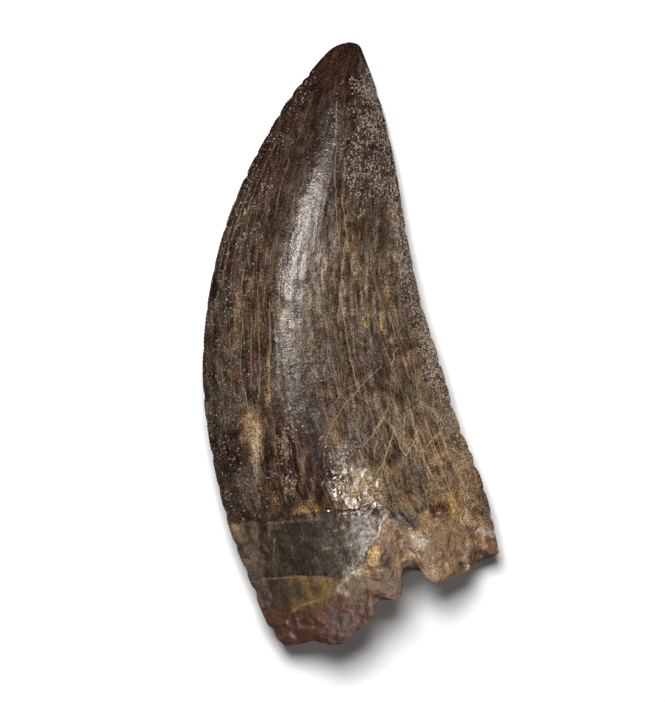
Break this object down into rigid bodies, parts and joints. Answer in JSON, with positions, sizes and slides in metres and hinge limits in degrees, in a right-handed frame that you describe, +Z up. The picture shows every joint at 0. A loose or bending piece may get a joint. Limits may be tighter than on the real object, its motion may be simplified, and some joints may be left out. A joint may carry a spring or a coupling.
{
  "type": "fossil carcharodontosaurus tooth",
  "caption": "Broad blade-like fossil dinosaur tooth with a worn tip, keen serrated edges and a jagged broken base, lying on its side.",
  "frame": {"origin": "middle of the tooth's bounding box seen from above, on the plane that the tooth lies on", "axes": "+Y along the tooth towards its tip, +X towards the hind edge, +Z up out of the side that faces up as the tooth lies"},
  "size_m": [0.0436, 0.089, 0.0177],
  "materials": {
    "fossil_tooth": "dark brown enamel with a soft gloss, duller tan and red-brown at the broken base"
  },
  "bodies": {
    "root": {"tooth": "fossil_tooth"}
  },
  "joints": []
}
